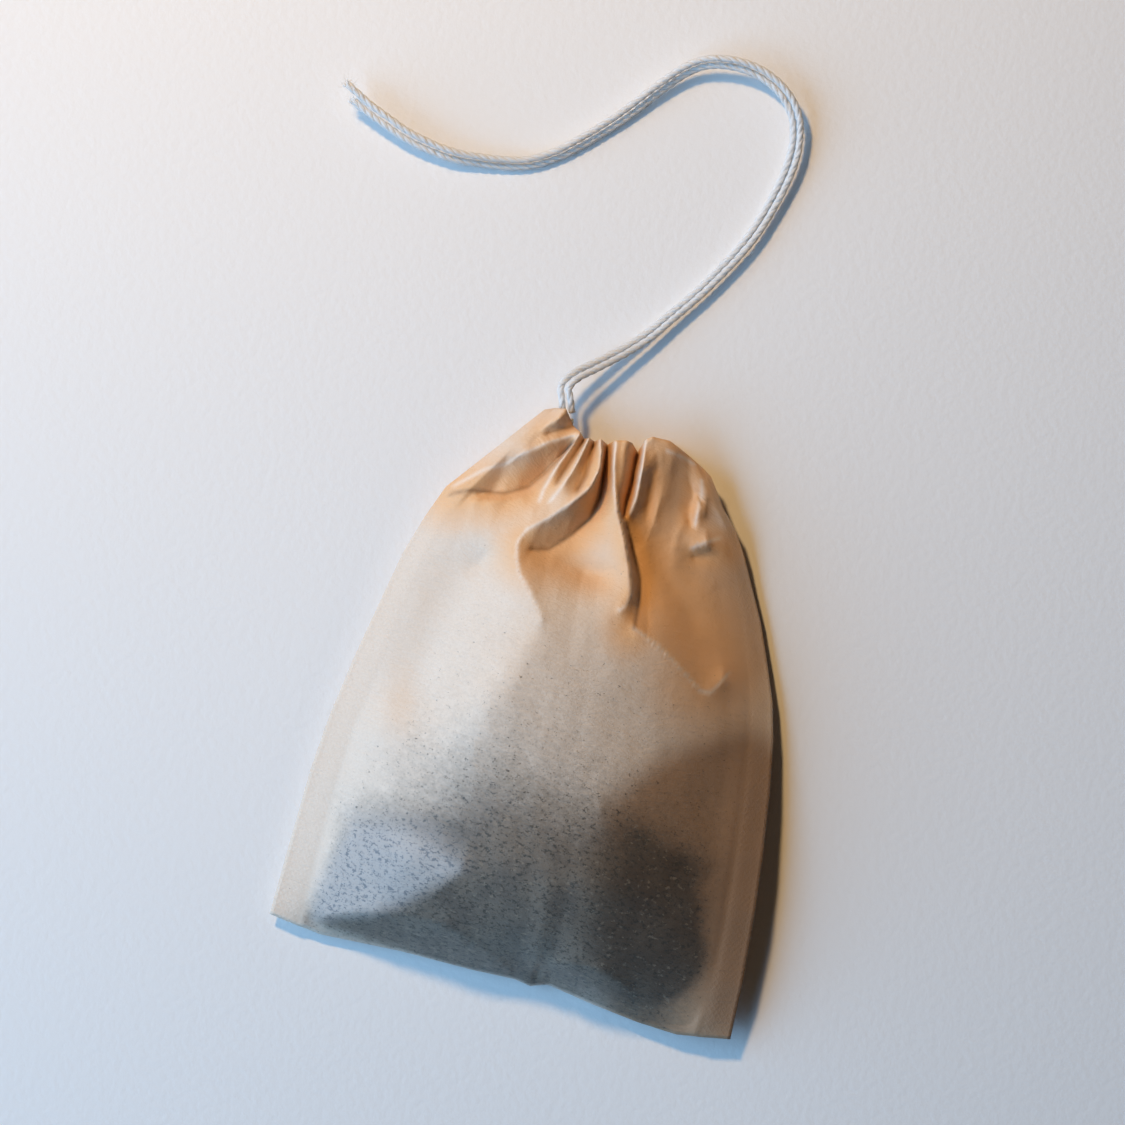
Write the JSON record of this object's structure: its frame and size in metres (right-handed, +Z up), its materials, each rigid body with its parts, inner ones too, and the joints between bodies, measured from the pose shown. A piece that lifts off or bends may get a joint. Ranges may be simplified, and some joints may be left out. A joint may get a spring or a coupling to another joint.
{
  "type": "tea bag",
  "caption": "Flat drawstring tea filter bag in unbleached paper, filled with loose tea, mouth gathered on its cotton string, lying on its back.",
  "frame": {"origin": "under the middle of the bag without its free string, on the surface that the bag lies on", "axes": "+X across the bag along its bottom fold, +Y from the bottom fold to the gathered mouth, +Z up out of the front panel"},
  "size_m": [0.0896, 0.1381, 0.0176],
  "materials": {
    "filter_paper": "thin unbleached filter paper, matt with a faint sheen, slightly see-through",
    "dried_tea": "dry crushed leaf, matt; wood stands in for dried plant matter",
    "cotton_string": "white two-ply twisted cotton"
  },
  "bodies": {
    "root": {"filter_bag": "filter_paper", "tea_leaves": "dried_tea", "drawstring_hem_loop": "cotton_string", "drawstring_strand_a": "cotton_string", "drawstring_strand_b": "cotton_string"}
  },
  "joints": []
}
